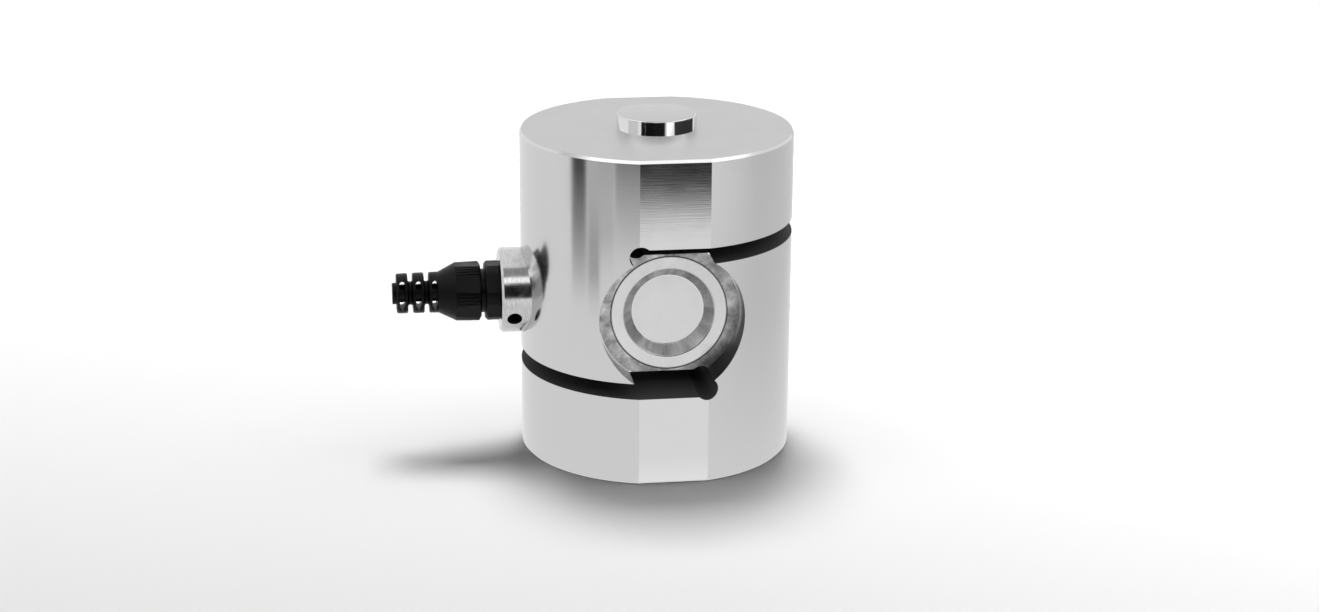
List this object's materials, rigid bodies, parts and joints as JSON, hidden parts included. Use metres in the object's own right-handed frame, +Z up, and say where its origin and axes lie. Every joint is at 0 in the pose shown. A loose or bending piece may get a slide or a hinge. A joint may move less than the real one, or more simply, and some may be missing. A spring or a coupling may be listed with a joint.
{
  "type": "strain gauge load cell",
  "caption": "Compression load cell: a plated steel cylinder cut into an S by two slots, with dished sealing cups, a load button on top and a side cable gland with bend boot.",
  "frame": {"origin": "centre of the round base face that the cell stands on", "axes": "+Z up along the cylinder to the load button; -X towards the cable gland; -Y towards the front recess with the sealing cup"},
  "size_m": [0.1106, 0.0726, 0.0945],
  "materials": {
    "body_steel": "bright plated, nearly mirror smooth",
    "button_steel": "hard, mirror polished",
    "cup_steel": "turned, bright plated",
    "collar_steel": "turned and polished, with fine turning marks",
    "nylon": "black moulded nylon, satin",
    "rubber": "black, matt",
    "cable_sheath": "black flexible sheath, satin",
    "braid": "tinned braid",
    "core_red": "coloured wire insulation",
    "core_black": "coloured wire insulation",
    "core_green": "coloured wire insulation",
    "core_white": "coloured wire insulation",
    "gauge_foil": "metal foil on amber film",
    "board": "green coated board with tinned pads",
    "resistor": "lacquered",
    "lead_wire": "enamelled fine wire",
    "sealant": "cured sealant, matt",
    "gel": "soft translucent gel"
  },
  "bodies": {
    "root": {"measuring_body": "body_steel", "load_button": "button_steel", "front_sealing_cup": "cup_steel", "back_sealing_cup": "cup_steel", "collar": "collar_steel", "collar_seal_ring": "rubber", "gland_body": "nylon", "gland_seal_ring": "rubber", "cable_seal": "rubber", "dome_nut": "nylon", "cable_sheath": "cable_sheath", "cable_shield": "braid", "core_red": "core_red", "core_black": "core_black", "core_green": "core_green", "core_white": "core_white", "gauge_front_left": "gauge_foil", "gauge_front_right": "gauge_foil", "gauge_back_left": "gauge_foil", "gauge_back_right": "gauge_foil", "front_terminal_board": "board", "back_terminal_board": "board", "trim_board": "board", "trim_resistors": "resistor", "trim_links": "lead_wire", "front_gauge_leads": "lead_wire", "back_gauge_leads": "lead_wire", "port_sealant": "sealant", "front_gel": "gel", "back_gel": "gel"}
  },
  "joints": []
}
